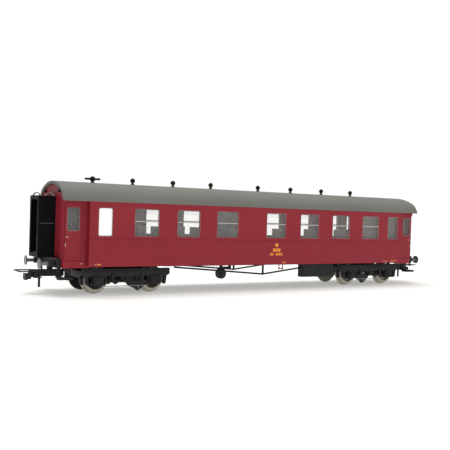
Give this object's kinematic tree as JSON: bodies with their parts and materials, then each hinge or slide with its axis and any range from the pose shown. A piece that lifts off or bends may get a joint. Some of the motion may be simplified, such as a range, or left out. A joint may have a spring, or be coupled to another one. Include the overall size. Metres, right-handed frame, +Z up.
{
  "type": "scale model of a four-axle railway passenger coach",
  "caption": "Small-scale model coach with an arched roof, compartment windows, recessed end doors, gangways, swivelling bogies and loop couplers.",
  "frame": {"origin": "under the middle of the coach, on the surface the wheel flanges stand on", "axes": "+X towards the rear end, -Y the left side, +Z up"},
  "size_m": [0.2224, 0.034, 0.0494],
  "materials": {
    "body_red": "satin wine-red moulded plastic",
    "roof_grey": "matt warm grey",
    "frame_black": "matt black moulded plastic",
    "buffer_metal": "dark turned metal",
    "gangway_black": "matt black",
    "gangway_grey": "worn grey",
    "clear_pane": "clear moulded styrene",
    "frosted_pane": "milky moulded styrene",
    "seat_brown": "matt grey-brown",
    "ballast_steel": "plain sheet steel",
    "wheel_nickel": "blackened nickel on turned steel",
    "axle_steel": "turned steel"
  },
  "bodies": {
    "coach": {"left_side": "body_red", "right_side": "body_red", "front_end": "body_red", "rear_end": "body_red", "roof": "roof_grey", "underframe": "frame_black", "ballast_weight": "ballast_steel", "left_glazing": "clear_pane", "right_glazing": "clear_pane", "toilet_panes": "frosted_pane", "door_panes": "clear_pane", "seats": "seat_brown", "partitions": "seat_brown", "front_gangway": "gangway_black", "rear_gangway": "gangway_black", "gangway_frames": "gangway_grey", "gangway_caps": "gangway_grey", "gangway_footplates": "gangway_grey", "buffer_housings": "frame_black", "buffer_heads": "buffer_metal", "roof_vents": "frame_black", "cross_vent": "frame_black", "truss_rods": "frame_black", "battery_box": "frame_black", "dynamo": "frame_black", "brake_handles": "body_red", "door_steps": "frame_black", "brake_hoses": "frame_black", "lamp_brackets": "frame_black"},
    "front_bogie": {"front_bogie_frame": "frame_black", "front_bogie_sides": "frame_black", "front_brake_shoes": "frame_black"},
    "rear_bogie": {"rear_bogie_frame": "frame_black", "rear_bogie_sides": "frame_black", "rear_brake_shoes": "frame_black"},
    "wheelset_1": {"wheels_1": "wheel_nickel", "axle_1": "axle_steel"},
    "wheelset_2": {"wheels_2": "wheel_nickel", "axle_2": "axle_steel"},
    "wheelset_3": {"wheels_3": "wheel_nickel", "axle_3": "axle_steel"},
    "wheelset_4": {"wheels_4": "wheel_nickel", "axle_4": "axle_steel"},
    "front_coupler": {"front_coupler": "frame_black"},
    "front_loop": {"front_coupler_loop": "frame_black"},
    "rear_coupler": {"rear_coupler": "frame_black"},
    "rear_loop": {"rear_coupler_loop": "frame_black"}
  },
  "joints": [
    {"name": "front_bogie_swivel", "type": "hinge", "parent": "coach", "child": "front_bogie", "pos_m": [-0.0684, 0, 0.009], "axis": [0, 0, 1], "range_deg": [-12, 12]},
    {"name": "rear_bogie_swivel", "type": "hinge", "parent": "coach", "child": "rear_bogie", "pos_m": [0.0684, 0, 0.009], "axis": [0, 0, 1], "range_deg": [-12, 12]},
    {"name": "wheelset_1_roll", "type": "hinge", "parent": "front_bogie", "child": "wheelset_1", "pos_m": [-0.0812, 0, 0.00605], "axis": [0, 1, 0], "continuous": true},
    {"name": "wheelset_2_roll", "type": "hinge", "parent": "front_bogie", "child": "wheelset_2", "pos_m": [-0.0556, 0, 0.00605], "axis": [0, 1, 0], "continuous": true},
    {"name": "wheelset_3_roll", "type": "hinge", "parent": "rear_bogie", "child": "wheelset_3", "pos_m": [0.0556, 0, 0.00605], "axis": [0, 1, 0], "continuous": true},
    {"name": "wheelset_4_roll", "type": "hinge", "parent": "rear_bogie", "child": "wheelset_4", "pos_m": [0.0812, 0, 0.00605], "axis": [0, 1, 0], "continuous": true},
    {"name": "front_coupler_swing", "type": "hinge", "parent": "coach", "child": "front_coupler", "pos_m": [-0.0938, 0, 0.0085], "axis": [0, 0, 1], "range_deg": [-15, 15]},
    {"name": "front_loop_lift", "type": "hinge", "parent": "front_coupler", "child": "front_loop", "pos_m": [-0.1038, 0, 0.0085], "axis": [0, 1, 0], "range_deg": [0, 20]},
    {"name": "rear_coupler_swing", "type": "hinge", "parent": "coach", "child": "rear_coupler", "pos_m": [0.0938, 0, 0.0085], "axis": [0, 0, 1], "range_deg": [-15, 15]},
    {"name": "rear_loop_lift", "type": "hinge", "parent": "rear_coupler", "child": "rear_loop", "pos_m": [0.1038, 0, 0.0085], "axis": [0, -1, 0], "range_deg": [0, 20]}
  ]
}
